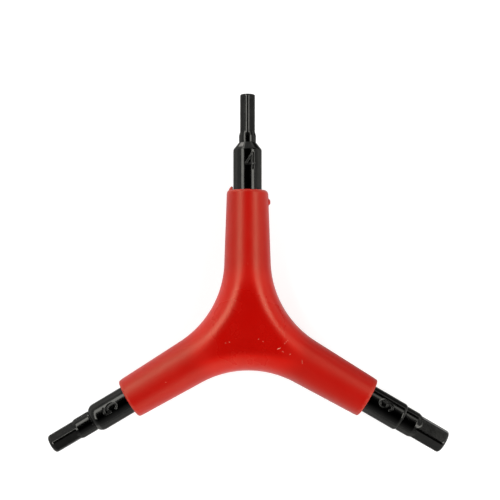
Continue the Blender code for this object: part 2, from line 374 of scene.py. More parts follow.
def edge_angles():
    """Angles of a half round edge, from the back deck to the front, close at the parting line."""
    last = PARTING_STEPS[-1]
    count = math.ceil((90 - last) / EDGE_STEP)
    upper = list(PARTING_STEPS) + [last + (90 - last) * (step + 1) / count for step in range(count)]
    return [-angle for angle in reversed(upper[1:])] + upper


def crotch_station(share, half_spread):
    """Where the hub's edge runs between two arms, in the frame of the arm on its right.

    The edge follows an arc that is tangent to the sides of both arms, from its middle at share 0
    to where the arm's straight side begins at share 1. The result is the edge's place along and
    across the arm, its radius, and the direction from it into the plastic.
    """
    taper = math.atan(ARM_TAPER_SHARE)
    corner = arm_half_width(0) / (math.sin(half_spread) + ARM_TAPER_SHARE * math.cos(half_spread))
    centre = corner + CROTCH_RADIUS / math.sin(half_spread + taper)
    middle = math.pi + half_spread
    angle = middle + share * (STRAIGHT_IN - taper - middle)
    inward = middle + share * (STRAIGHT_IN - middle)
    along = centre * math.cos(half_spread) + CROTCH_RADIUS * math.cos(angle)
    across = centre * math.sin(half_spread) + CROTCH_RADIUS * math.sin(angle)
    return along, across, min(THICKNESS / 2, arm_half_width(along)), inward


def edge_points(station, side):
    """The half round edge at one station, from the back deck round to the front deck."""
    along, across, radius, inward = station
    points = []
    for degrees in edge_angles():
        angle = math.radians(degrees)
        ridge = PARTING_HEIGHT * smooth_step(1 - abs(degrees) / PARTING_STEPS[2])
        inset = radius * (1 - math.cos(angle)) - ridge
        x = along + inset * math.cos(inward)
        y = side * (across + inset * math.sin(inward))
        points.append(Vector((x, y, radius * math.sin(angle))))
    return points


def arm_rows(start, end):
    """Places of the rings along an arm's straight side, close together at the gate's stub."""
    rows = [start]
    while rows[-1] < end:
        near_gate = abs(rows[-1] - GATE_PLACE) < GATE_LENGTH
        rows.append(rows[-1] + (GATE_ROW if near_gate else ARM_ROW))
    return rows[:-1]


def gate_bump(point):
    """How far the gate's stub stands out of an arm's side, at the parting line."""
    along = smooth_step((GATE_LENGTH / 2 - abs(point.x - GATE_PLACE)) / (GATE_LENGTH / 3))
    up = smooth_step((GATE_WIDTH / 2 - abs(point.z)) / (GATE_WIDTH / 3))
    return GATE_HEIGHT * along * up


def flash_bump(radius, degrees):
    """How far the lip of flash stands out of an arm's end face."""
    round_the_mouth = smooth_step(1 - abs(degrees) / FLASH_ANGLE)
    across = smooth_step(1 - abs(radius - FLASH_RADIUS) / (2 * FLASH_SPREAD))
    return FLASH_HEIGHT * round_the_mouth * across


def mouth_rings(bit, side, marked):
    """Rings of one side of an arm's mouth: its rounding, the end face and the socket's wall.

    A marked mouth is worn rounder on its right and has a lip of flash on its left.
    """
    mouth = bit["Mouth"]
    hole = BODY_RADIUS + SOCKET_GAP
    columns = []
    for degrees in edge_angles():
        angle = math.radians(degrees)
        rounding = bit["Mouth Rounding"]
        if marked and side < 0:
            rounding += (WORN_ROUNDING - rounding) * math.cos(angle) ** 2
        rounding = min(rounding, MOUTH_RADIUS - hole - SOCKET_EDGE)
        places = []
        for step in range(ROUNDING_STEPS + 1):
            turn = math.pi / 2 * step / ROUNDING_STEPS
            along = mouth - rounding * (1 - math.sin(turn))
            places.append((along, arm_half_width(along) - rounding * (1 - math.cos(turn))))
        face = places[-1][1]
        for share in FACE_SHARES:
            places.append((mouth, face + (hole + SOCKET_EDGE - face) * share))
        places.append((mouth, hole + SOCKET_EDGE))
        places.append((mouth - SOCKET_EDGE / 3, hole + SOCKET_EDGE / 3))
        places.append((mouth - SOCKET_EDGE, hole))
        places.append((mouth - SOCKET_DEPTH, hole))
        column = []
        for along, radius in places:
            if marked and side > 0 and along > mouth - SOCKET_EDGE:
                along += flash_bump(radius, degrees)
            y = side * radius * math.cos(angle)
            column.append(Vector((along, y, radius * math.sin(angle))))
        columns.append(column)
    return list(zip(*columns))


def fill_arm(bm, bit, half_spreads, marked):
    """Skins one arm and its part of the hub, apart from the middle of the decks.

    A marked arm has the gate's stub on its right.
    """
    turn = Matrix.Rotation(math.radians(bit["Direction"]), 4, "Z")
    lift = Matrix.Translation((0, 0, THICKNESS / 2))
    place = lift @ turn
    straight = max(crotch_station(1, half_spread)[0] for half_spread in half_spreads)
    rows = arm_rows(straight, bit["Mouth"] - WORN_ROUNDING)
    edges = []
    for side, half_spread in zip((1, -1), half_spreads):
        rings = []
        for step in range(CROTCH_STEPS + 1):
            rings.append(edge_points(crotch_station(step / CROTCH_STEPS, half_spread), side))
        for along in rows:
            half_width = arm_half_width(along)
            station = (along, half_width, min(THICKNESS / 2, half_width), STRAIGHT_IN)
            ring = edge_points(station, side)
            if marked and side < 0:
                for point in ring:
                    point.y -= gate_bump(point)
            rings.append(ring)
        rings.extend(mouth_rings(bit, side, marked))
        edges.append([[bm.verts.new(place @ point) for point in ring] for ring in rings])
    for rings in edges:
        for first, second in zip(rings, rings[1:]):
            for step in range(len(first) - 1):
                bm.faces.new((first[step], first[step + 1], second[step + 1], second[step]))
    left, right = edges
    for row in range(CROTCH_STEPS + len(rows)):
        for deck in (0, -1):
            start = [left[row][deck], right[row][deck]]
            end = [right[row + 1][deck], left[row + 1][deck]]
            bm.faces.new(start + end)
    bm.faces.new(left[-1] + list(reversed(right[-1])))
    return left[0]


def make_handle(bits):
    bm = bmesh.new()
    directions = BIT_VALUES["Direction"]
    half_spreads = []
    for direction, after in zip(directions, directions[1:] + directions[:1]):
        half_spreads.append(math.radians((after - direction) % 360) / 2)
    crotches = []
    for arm, bit in enumerate(bits.values()):
        spreads = (half_spreads[arm], half_spreads[arm - 1])
        crotches.append(fill_arm(bm, bit, spreads, arm == 0))
    for deck in (0, -1):
        bm.faces.new([points[deck] for points in crotches])
    bmesh.ops.remove_doubles(bm, verts=bm.verts, dist=SEAM)
    bmesh.ops.dissolve_degenerate(bm, edges=bm.edges, dist=SEAM)
    bmesh.ops.recalc_face_normals(bm, faces=bm.faces)
    source = add_mesh("smooth_handle", bm)
    source.data.shade_smooth()
    marks = make_marks()
    values = {"Marks": marks, "Width": DENT_WIDTH, "Depth": DENT_DEPTH,
              "Plastic": satin_moulded_abs()}
    handle = bake_nodes("moulded_handle", source, dent_tree(), values)
    bpy.data.objects.remove(marks, do_unlink=True)
    return handle


def make_marks():
    """Points above the handle's dents, each with its dent's length, direction and paleness, which
    is partly whitening and partly a painted glint.
    """
    bm = bmesh.new()
    layers = [bm.verts.layers.float.new(name) for name in ("length", "heading", "glint_and_whiteness")]
    for across, up, length, heading, glint_and_whiteness in DENTS:
        mark = bm.verts.new((across, up, 2 * THICKNESS))
        for layer, value in zip(layers, (length, math.radians(heading), glint_and_whiteness)):
            mark[layer] = value
    return add_mesh("dent_marks", bm)


def dent_tree():
    """Geometry nodes that drop points onto a piece and press a long dent into it at each."""
    inputs = {"Piece": "Geometry", "Marks": "Object", "Width": "Float", "Depth": "Float",
              "Plastic": "Material"}
    tree = new_tree("dents", inputs, "Dented")
    size = add_node(tree, "NodeGroupInput").node.outputs
    marks = add_node(tree, "GeometryNodeObjectInfo", [size["Marks"]]).node.outputs["Geometry"]
    fall = {"Target Geometry": size["Piece"], "Ray Direction": (0, 0, -1)}
    landing = add_node(tree, "GeometryNodeRaycast", fall).node.outputs["Hit Position"]
    marks = add_node(tree, "GeometryNodeSetPosition", {"Geometry": marks, "Position": landing})
    length, heading, glint_and_whiteness = [
        add_node(tree, "GeometryNodeInputNamedAttribute", [name])
        for name in ("length", "heading", "glint_and_whiteness")]
    stretch = add_node(tree, "ShaderNodeCombineXYZ", [length, size["Width"], size["Depth"]])
    turn = add_node(tree, "ShaderNodeCombineXYZ", [0, 0, heading])
    turn = add_node(tree, "FunctionNodeEulerToRotation", [turn])
    ball = add_node(tree, "GeometryNodeMeshUVSphere", [DENT_SEGMENTS, DENT_RINGS, 0.5])
    ball = add_node(tree, "GeometryNodeSetShadeSmooth", [ball])
    balls = add_node(tree, "GeometryNodeInstanceOnPoints",
                     {"Points": marks, "Instance": ball, "Rotation": turn, "Scale": stretch})
    balls = add_node(tree, "GeometryNodeRealizeInstances", [balls])
    balls = add_node(tree, "GeometryNodeStoreNamedAttribute",
                     {"Geometry": balls, "Name": "whitened", "Value": glint_and_whiteness}, domain="FACE")
    dented = add_node(tree, "GeometryNodeMeshBoolean", {"Mesh 1": size["Piece"], "Mesh 2": balls},
                      operation="DIFFERENCE", solver="EXACT")
    rims = dented.node.outputs["Intersecting Edges"]
    dented = add_node(tree, "GeometryNodeSetShadeSmooth",
                      {"Geometry": dented, "Selection": rims, "Shade Smooth": False}, domain="EDGE")
    dented = add_node(tree, "GeometryNodeMergeByDistance",
                      {"Geometry": dented, "Distance": DENT_SEAM})
    dented = add_node(tree, "GeometryNodeRealizeInstances", [dented])
    dented = add_node(tree, "GeometryNodeSetMaterial",
                      {"Geometry": dented, "Material": size["Plastic"]})
    add_node(tree, "NodeGroupOutput", [dented])
    return tree


# Bits


def rounded_corner(before, corner, after, rounding):
    """Points of an arc that rounds one corner of an outline, as far as its two sides allow."""
    before, corner, after = Vector(before), Vector(corner), Vector(after)
    to_before = (before - corner).normalized()
    to_after = (after - corner).normalized()
    half_angle = to_before.angle(to_after) / 2
    room = min((before - corner).length, (after - corner).length)
    setback = min(rounding / math.tan(half_angle), room)
    radius = setback * math.tan(half_angle)
    centre = corner + (to_before + to_after).normalized() * radius / math.sin(half_angle)
    first = corner + to_before * setback - centre
    swing = (corner + to_after * setback - centre).angle_signed(first)
    points = []
    for step in range(ROUNDING_STEPS + 1):
        angle = swing * step / ROUNDING_STEPS
        x = centre.x + first.x * math.cos(angle) - first.y * math.sin(angle)
        y = centre.y + first.x * math.sin(angle) + first.y * math.cos(angle)
        points.append((x, y))
    return points


def blank_outline(bit):
    """The turned blank of one bit, from the middle of its buried end to the middle of its tip.

    It is a list of places along the bit and radii, close together where detail needs it.
    """
    buried = ARM_REACH - BURIED_LENGTH
    neck = bit["Neck Radius"]
    steepest = math.radians(CONE_ANGLE)
    rounding = bit["End Rounding"]
    cone_start = (bit["Reach"] - rounding * (1 - math.cos(steepest)),
                  bit["End Radius"] + rounding * math.sin(steepest))
    cone_end = (cone_start[0] - (neck - cone_start[1]) * math.tan(steepest), neck)
    shoulder = (bit["Shoulder"], BODY_RADIUS)
    root = (bit["Neck Start"], neck - bit["Undercut"])
    root_end = (bit["Neck Start"] + UNDERCUT_LENGTH, neck)
    corners = [(buried, 0.0), (buried, BODY_RADIUS)]
    corners += rounded_corner((buried, BODY_RADIUS), shoulder, root, bit["Shoulder Rounding"])
    corners += rounded_corner(corners[-1], root, root_end, bit["Neck Fillet"])
    corners += [root_end, (bit["Neck End"], neck), (bit["Neck End"] + 2 * bit["Runout"], neck)]
    corners += rounded_corner(corners[-1], cone_end, cone_start, bit["Corner Rounding"])
    for step in range(2 * ROUNDING_STEPS + 1):
        angle = steepest * (1 - step / (2 * ROUNDING_STEPS))
        along = bit["Reach"] - rounding * (1 - math.cos(angle))
        corners.append((along, bit["End Radius"] + rounding * math.sin(angle)))
    corners.append((bit["Reach"], 0.0))
    outline = [corners[0]]
    for (along, radius), (next_along, next_radius) in zip(corners, corners[1:]):
        length = math.hypot(next_along - along, next_radius - radius)
        plain = radius == 0 or next_radius == 0 or along > bit["Neck End"] + bit["Runout"]

        # Two corners in the same place have no row between them
        count = math.ceil(length / (COARSE_ROW if plain else FINE_ROW) - SEAM)
        for step in range(1, count + 1):
            share = step / count
            row = along + (next_along - along) * share
            outline.append((row, radius + (next_radius - radius) * share))
    return outline


def arc(centre, radii, start, end):
    """Points of an elliptical arc. Angles run anticlockwise from the right."""
    count = math.ceil(abs(end - start) / ARC_STEP)
    points = []
    for step in range(count + 1):
        angle = math.radians(start + (end - start) * step / count)
        x = centre[0] + radii[0] * math.cos(angle)
        points.append((x, centre[1] + radii[1] * math.sin(angle)))
    return points


def number_path(size):
    """The middle line of a size number, drawn flat: along the body in x and round it in y."""
    if size == "4mm":
        stroke = [(0.00147, 0.0429), (0.00147, 0.0471), (-0.0005, 0.0442), (0.0018, 0.0442)]
    elif size == "5mm":
        stroke = [(0.0014, 0.04404), (0.00005, 0.0445), (-0.0004, 0.0442), (-0.0005, 0.0429)]
        stroke += arc((0.0006, 0.04196), (0.00099, 0.00138), 140, -148)
    else:
        stroke = [(-0.00015, 0.0438), (-0.0009, 0.0444), (-0.0017, 0.044), (-0.00208, 0.043)]
        stroke += arc((-0.00114, 0.04162), (0.00094, 0.00114), 180, 540)
    return [(along, around) for around, along in stroke]


def lathe_and_mill_tree():
    """Geometry nodes that turn an outline into a bar, mill its hexagon and stamp its number."""
    inputs = {"Outline": "Geometry", "Columns": "Int", "Number Path": "Object",
              "Steel": "Material"}
    for name in (*SHARED_SIZES, *OWN_SIZES, *OWN_TURNS):
        inputs[name] = "Float"
    tree = new_tree("lathe_and_mill", inputs, "Bit")
    size = add_node(tree, "NodeGroupInput").node.outputs

    # A sheet with a row for each point of the outline, to be wrapped round the axis
    rows = add_node(tree, "GeometryNodeAttributeDomainSize", [size["Outline"]])
    columns = add_node(tree, "ShaderNodeMath", [size["Columns"], 1], operation="ADD")
    sheet = add_node(tree, "GeometryNodeMeshGrid", [1, 1, columns, rows])
    place = add_node(tree, "GeometryNodeInputPosition")
    spot = add_node(tree, "ShaderNodeSeparateXYZ", [place]).node.outputs
    last_row = add_node(tree, "ShaderNodeMath", [rows, 1], operation="SUBTRACT")
    down = add_node(tree, "ShaderNodeMath", [spot["Y"], 0.5], operation="ADD")
    row = add_node(tree, "ShaderNodeMath", [down, last_row], operation="MULTIPLY")
    row = add_node(tree, "ShaderNodeMath", [row], operation="ROUND")
    point = add_node(tree, "GeometryNodeSampleIndex",
                     {"Geometry": size["Outline"], "Value": place, "Index": row},
                     data_type="FLOAT_VECTOR")
    turned = add_node(tree, "ShaderNodeSeparateXYZ", [point]).node.outputs
    along, radius = turned["X"], turned["Y"]

    # Columns crowd at the hexagon's corners
    share = add_node(tree, "ShaderNodeMath", [spot["X"], 0.5], operation="ADD")
    even = add_node(tree, "ShaderNodeMath", [share, math.tau], operation="MULTIPLY")
    wave = add_node(tree, "ShaderNodeMath", [even, HEX_SIDES], operation="MULTIPLY")
    wave = add_node(tree, "ShaderNodeMath", [wave], operation="SINE")
    around = add_node(tree, "ShaderNodeMath", [wave, -CROWDING_SHARE / HEX_SIDES, even],
                      operation="MULTIPLY_ADD")

    # The hexagon. A power mean of its two nearest flats rounds the corner between them, and the
    # lathe has taken the corner's point off
    flat = add_node(tree, "ShaderNodeMath", [size["Across Flats"], 2], operation="DIVIDE")
    power = add_node(tree, "ShaderNodeMath", [flat, size["Corner Rounding"]], operation="DIVIDE")
    power = add_node(tree, "ShaderNodeMath", [power, ROUNDING_POWER], operation="MULTIPLY")
    turn = math.tau / HEX_SIDES
    near = add_node(tree, "ShaderNodeMath", [around, turn], operation="FLOORED_MODULO")
    near = add_node(tree, "ShaderNodeMath", [near, turn / 2], operation="SUBTRACT")
    near = add_node(tree, "ShaderNodeMath", [near], operation="ABSOLUTE")
    far = add_node(tree, "ShaderNodeMath", [turn, near], operation="SUBTRACT")
    flats = []
    for angle in (near, far):
        share = add_node(tree, "ShaderNodeMath", [angle], operation="COSINE")
        flats.append(add_node(tree, "ShaderNodeMath", [share, power], operation="POWER"))
    both = add_node(tree, "ShaderNodeMath", flats, operation="ADD")
    root = add_node(tree, "ShaderNodeMath", [-1, power], operation="DIVIDE")
    spread = add_node(tree, "ShaderNodeMath", [both, root], operation="POWER")
    hexagon = add_node(tree, "ShaderNodeMath", [flat, spread], operation="MULTIPLY")
    hexagon = add_node(tree, "ShaderNodeMath", [hexagon, size["Corner Radius"], CORNER_SEAM],
                       operation="SMOOTH_MIN")
    least = add_node(tree, "ShaderNodeMath", flats, operation="MINIMUM")
    corner = add_node(tree, "ShaderNodeMath", [least, both], operation="DIVIDE")
    corner = add_node(tree, "ShaderNodeMath", [corner, 2], operation="MULTIPLY")

    # The neck's taper, which sinks into the flats
    past_neck = add_node(tree, "ShaderNodeMath", [along, size["Neck End"]], operation="SUBTRACT")
    drop = add_node(tree, "ShaderNodeMath", [size["Neck Radius"], flat], operation="SUBTRACT")
    slope = add_node(tree, "ShaderNodeMath", [drop, size["Runout"]], operation="DIVIDE")
    fall = add_node(tree, "ShaderNodeMath", [slope, past_neck], operation="MULTIPLY")
    taper = add_node(tree, "ShaderNodeMath", [size["Neck Radius"], fall], operation="SUBTRACT")
    milled = add_node(tree, "ShaderNodeMath", [hexagon, taper, RUNOUT_SEAM], operation="SMOOTH_MAX")
    cut = add_node(tree, "ShaderNodeMath", [radius, milled, CHAMFER_SEAM], operation="SMOOTH_MIN")
    from_rim = add_node(tree, "ShaderNodeMath", [radius, milled], operation="SUBTRACT")
    from_rim = add_node(tree, "ShaderNodeMath", [from_rim], operation="ABSOLUTE")
    in_tip = add_node(tree, "ShaderNodeMath", [past_neck, 0], operation="GREATER_THAN")
    on_flat = add_node(tree, "ShaderNodeMath", [taper, hexagon], operation="LESS_THAN")
    milled_here = add_node(tree, "ShaderNodeMath", [in_tip, on_flat], operation="MULTIPLY")
    to_tip = add_node(tree, "ShaderNodeMath", [size["Reach"], along], operation="SUBTRACT")
    tip_wear = add_node(tree, "ShaderNodeMapRange", [to_tip, 0, size["Worn Length"], 1.0, 0.0])
    wear = add_node(tree, "ShaderNodeMath", [corner, tip_wear], operation="MULTIPLY")
    rim_wear = add_node(tree, "ShaderNodeMapRange", [from_rim, 0, RIM_WIDTH, 1.0, 0.0])
    wear = add_node(tree, "ShaderNodeMath", [wear, rim_wear], operation="MAXIMUM")
    wear = add_node(tree, "ShaderNodeMath", [wear, milled_here], operation="MULTIPLY")
    radius = add_node(tree, "GeometryNodeSwitch", [in_tip, radius, cut], input_type="FLOAT")

    # The number, sunk where the surface is near its stroke
    angle = add_node(tree, "ShaderNodeMath", [around, size["Hex Turn"]], operation="ADD")
    wrapped = add_node(tree, "ShaderNodeMath", [angle, math.pi, -math.pi], operation="WRAP")
    unrolled = add_node(tree, "ShaderNodeMath", [wrapped, radius], operation="MULTIPLY")
    flat_place = add_node(tree, "ShaderNodeCombineXYZ", [along, unrolled, 0])
    path = add_node(tree, "GeometryNodeObjectInfo", [size["Number Path"]]).node.outputs["Geometry"]
    nearest = add_node(tree, "GeometryNodeProximity",
                       {"Target": path, "Sample Position": flat_place},
                       target_element="EDGES").node.outputs["Distance"]
    outer = add_node(tree, "ShaderNodeMath", [size["Stroke Width"], 2], operation="DIVIDE")
    inner = add_node(tree, "ShaderNodeMath", [outer, size["Stroke Wall"]], operation="SUBTRACT")
    sunk = add_node(tree, "ShaderNodeMapRange",
                    [nearest, inner, outer, size["Stroke Depth"], 0.0], **EASED)
    radius = add_node(tree, "ShaderNodeMath", [radius, sunk], operation="SUBTRACT")

    # A patch of the shoulder that is painted paler, a painted highlight
    offs = []
    for place, middle, length in ((along, "Rubbed Place", "Rubbed Length"),
                                  (wrapped, "Rubbed Turn", "Rubbed Spread")):
        off = add_node(tree, "ShaderNodeMath", [place, size[middle]], operation="SUBTRACT")
        off = add_node(tree, "ShaderNodeMath", [off], operation="ABSOLUTE")
        offs.append(add_node(tree, "ShaderNodeMath", [off, size[length]], operation="DIVIDE"))
    off = add_node(tree, "ShaderNodeMath", offs, operation="MAXIMUM")
    rubbed = add_node(tree, "ShaderNodeMapRange",
                      [off, *SHOULDER_HIGHLIGHT_FADE_SHARES, size["Rubbed Share"], 0.0])

    # Wrapped round the axis, turned to its arm and lifted
    sine = add_node(tree, "ShaderNodeMath", [angle], operation="SINE")
    cosine = add_node(tree, "ShaderNodeMath", [angle], operation="COSINE")
    right = add_node(tree, "ShaderNodeMath", [radius, sine], operation="MULTIPLY")
    left = add_node(tree, "ShaderNodeMath", [right, -1], operation="MULTIPLY")
    height = add_node(tree, "ShaderNodeMath", [radius, cosine], operation="MULTIPLY")
    wrapped_place = add_node(tree, "ShaderNodeCombineXYZ", [along, left, height])
    aimed = add_node(tree, "ShaderNodeVectorRotate",
                     {"Vector": wrapped_place, "Angle": size["Direction"]},
                     rotation_type="Z_AXIS")
    lift = add_node(tree, "ShaderNodeCombineXYZ", [0, 0, size["Lift"]])
    final = add_node(tree, "ShaderNodeVectorMath", [aimed, lift], operation="ADD")
    solid = add_node(tree, "GeometryNodeStoreNamedAttribute",
                     {"Geometry": sheet, "Name": "bar", "Value": wrapped_place},
                     data_type="FLOAT_VECTOR")
    shares = {"stamped": sunk, "milled": milled_here, "wear": wear, "rubbed": rubbed}
    for name, value in shares.items():
        solid = add_node(tree, "GeometryNodeStoreNamedAttribute",
                         {"Geometry": solid, "Name": name, "Value": value})
    solid = add_node(tree, "GeometryNodeSetPosition", {"Geometry": solid, "Position": final})
    solid = add_node(tree, "GeometryNodeMergeByDistance", {"Geometry": solid, "Distance": SEAM})
    solid = add_node(tree, "GeometryNodeSetShadeSmooth", [solid])
    solid = add_node(tree, "GeometryNodeRealizeInstances", [solid])
    solid = add_node(tree, "GeometryNodeSetMaterial",
                     {"Geometry": solid, "Material": size["Steel"]})
    add_node(tree, "NodeGroupOutput", [solid])
    return tree


def bake_nodes(name, source, tree, values):
    """Runs a node tree on an object and gives the result as a plain mesh object."""
    modifier = source.modifiers.new(tree.name, "NODES")
    modifier.node_group = tree
    for socket in tree.interface.items_tree:
        if socket.name in values:
            modifier[socket.identifier] = values[socket.name]
    evaluated = source.evaluated_get(bpy.context.evaluated_depsgraph_get())
    mesh = bpy.data.meshes.new_from_object(evaluated)
    mesh.name = name
    obj = add_object(name, mesh)
    source.modifiers.remove(modifier)
    bpy.data.objects.remove(source, do_unlink=True)
    return obj


def make_bit(tree, size, bit, steel):
    source = add_line(f"outline_{size}", blank_outline(bit))
    path = add_line(f"number_path_{size}", number_path(size))
    values = {"Columns": BIT_COLUMNS, "Number Path": path, "Steel": steel, **SHARED_SIZES}
    for name in OWN_SIZES:
        values[name] = bit[name]
    for name in OWN_TURNS:
        values[name] = math.radians(bit[name])
    obj = bake_nodes(f"turned_bit_{size}", source, tree, values)
    bpy.data.objects.remove(path, do_unlink=True)
    return obj


# Materials


def satin_moulded_abs():
    """Red ABS plastic with a spark-eroded moulded skin.

    Its fine grain breaks the lamps into a soft sheen, and slow swirls of pigment keep the red
    from looking flat. The skin is worn smoother where thumbs press the hub, and scuffed paler
    and duller round the three mouths, where a pale line along each edge is partly wear and partly
    a painted highlight. The dents are paler, partly from whitening and partly as a painted glint.
    Between the arms the sides are painted a shade lighter red, a painted light for the light that
    falls there.
    """
    material, tree = new_material("satin_moulded_abs")
    place = add_node(tree, "ShaderNodeTexCoord").node.outputs["Object"]

    # Pigment
    swirl = add_node(tree, "ShaderNodeTexNoise",
                     {"Vector": place, "Scale": 1 / SWIRL_SIZE, "Detail": 3.0})
    dark, light = [linear(pigment) for pigment in PIGMENTS]
    red = add_node(tree, "ShaderNodeMix", {"Factor": swirl, COLOUR_A: dark, COLOUR_B: light},
                   data_type="RGBA").node.outputs[MIXED_COLOUR]

    # How far from the middle of the hub a place is, and how high above or below the arms' axes
    spot = add_node(tree, "ShaderNodeSeparateXYZ", [place]).node.outputs
    plan = add_node(tree, "ShaderNodeCombineXYZ", [spot["X"], spot["Y"], 0])
    away = add_node(tree, "ShaderNodeVectorMath", [plan], operation="LENGTH").node.outputs["Value"]
    up = add_node(tree, "ShaderNodeMath", [spot["Z"], THICKNESS / 2], operation="SUBTRACT")
    up = add_node(tree, "ShaderNodeMath", [up], operation="ABSOLUTE")
    # Painted light: the sides between the arms, below the decks, are painted a lighter red
    painted_crotch_light = add_node(tree, "ShaderNodeMapRange", [away, *PAINTED_CROTCH_LIGHT_FADE, 1.0, 0.0], **EASED)
    below_deck = add_node(tree, "ShaderNodeMapRange", [up, *DECK_FADE, 1.0, 0.0], **EASED)
    painted_crotch_light = add_node(tree, "ShaderNodeMath", [painted_crotch_light, below_deck], operation="MULTIPLY")
    red = add_node(tree, "ShaderNodeMix",
                   {"Factor": painted_crotch_light, COLOUR_A: red, COLOUR_B: linear(PAINTED_CROTCH_LIGHT_RED)},
                   data_type="RGBA").node.outputs[MIXED_COLOUR]
    rough = add_node(tree, "ShaderNodeMapRange",
                     [away, *RUBBED_FADE, RUBBED_ROUGHNESS, MOULDED_ROUGHNESS], **EASED)
    smudge = add_node(tree, "ShaderNodeTexNoise",
                      {"Vector": place, "Scale": 1 / SMUDGE_SIZE, "Detail": 4.0})
    smudge = add_node(tree, "ShaderNodeMapRange",
                      [smudge, *SMUDGE_FADE, -SMUDGE_ROUGHNESS, SMUDGE_ROUGHNESS], **EASED)
    rough = add_node(tree, "ShaderNodeMath", [rough, smudge], operation="ADD")

    # Scuffs where the arms end, a pale line along each mouth's edge that is partly wear and partly
    # a painted highlight, and the dents' paleness, partly whitening and partly a painted glint
    mouth = add_node(tree, "ShaderNodeMapRange",
                     [away, ARM_REACH - WORN_ROUNDING, ARM_REACH, 0.0, 1.0])
    # The pale line along each mouth's edge is partly wear and partly a painted highlight
    edge = add_node(tree, "ShaderNodeMapRange",
                    [away, ARM_REACH - 2 * RIM_SHEEN_WIDTH, ARM_REACH - RIM_SHEEN_WIDTH, 0.0,
                     RIM_WEAR_AND_HIGHLIGHT_PALENESS])
    scuff = add_node(tree, "ShaderNodeTexNoise",
                     {"Vector": place, "Scale": 1 / SCUFF_SIZE, "Detail": 5.0})
    scuff = add_node(tree, "ShaderNodeMapRange", [scuff, *SCUFF_FADE, 0.0, 1.0])
    scuff = add_node(tree, "ShaderNodeMath", [scuff, mouth], operation="MULTIPLY")
    rough = add_node(tree, "ShaderNodeMath", [scuff, SCUFF_ROUGHNESS, rough],
                     operation="MULTIPLY_ADD")
    # The dents' paleness, partly whitening and partly a painted glint
    dented = add_node(tree, "ShaderNodeAttribute", attribute_name="whitened").node.outputs["Fac"]
    pale = add_node(tree, "ShaderNodeMath", [scuff, SCUFF_WHITENESS, dented],
                    operation="MULTIPLY_ADD")
    pale = add_node(tree, "ShaderNodeMath", [pale, edge], operation="ADD")
    colour = add_node(tree, "ShaderNodeMix",
                      {"Factor": pale, COLOUR_A: red, COLOUR_B: linear(PALE_WEAR_AND_SHEEN_RED)},
                      data_type="RGBA").node.outputs[MIXED_COLOUR]

    # Grain of the mould
    grain = add_node(tree, "ShaderNodeTexNoise",
                     {"Vector": place, "Scale": 1 / GRAIN_SIZE, "Detail": 2.0})
    bump = add_node(tree, "ShaderNodeBump", {"Distance": GRAIN_DEPTH, "Height": grain})
    skin = add_node(tree, "ShaderNodeBsdfPrincipled",
                    {"Base Color": colour, "Roughness": rough, "IOR": PLASTIC_IOR,
                     "Specular Tint": linear(SHEEN_TINT), "Normal": bump})
    add_node(tree, "ShaderNodeOutputMaterial", [skin])
    return material


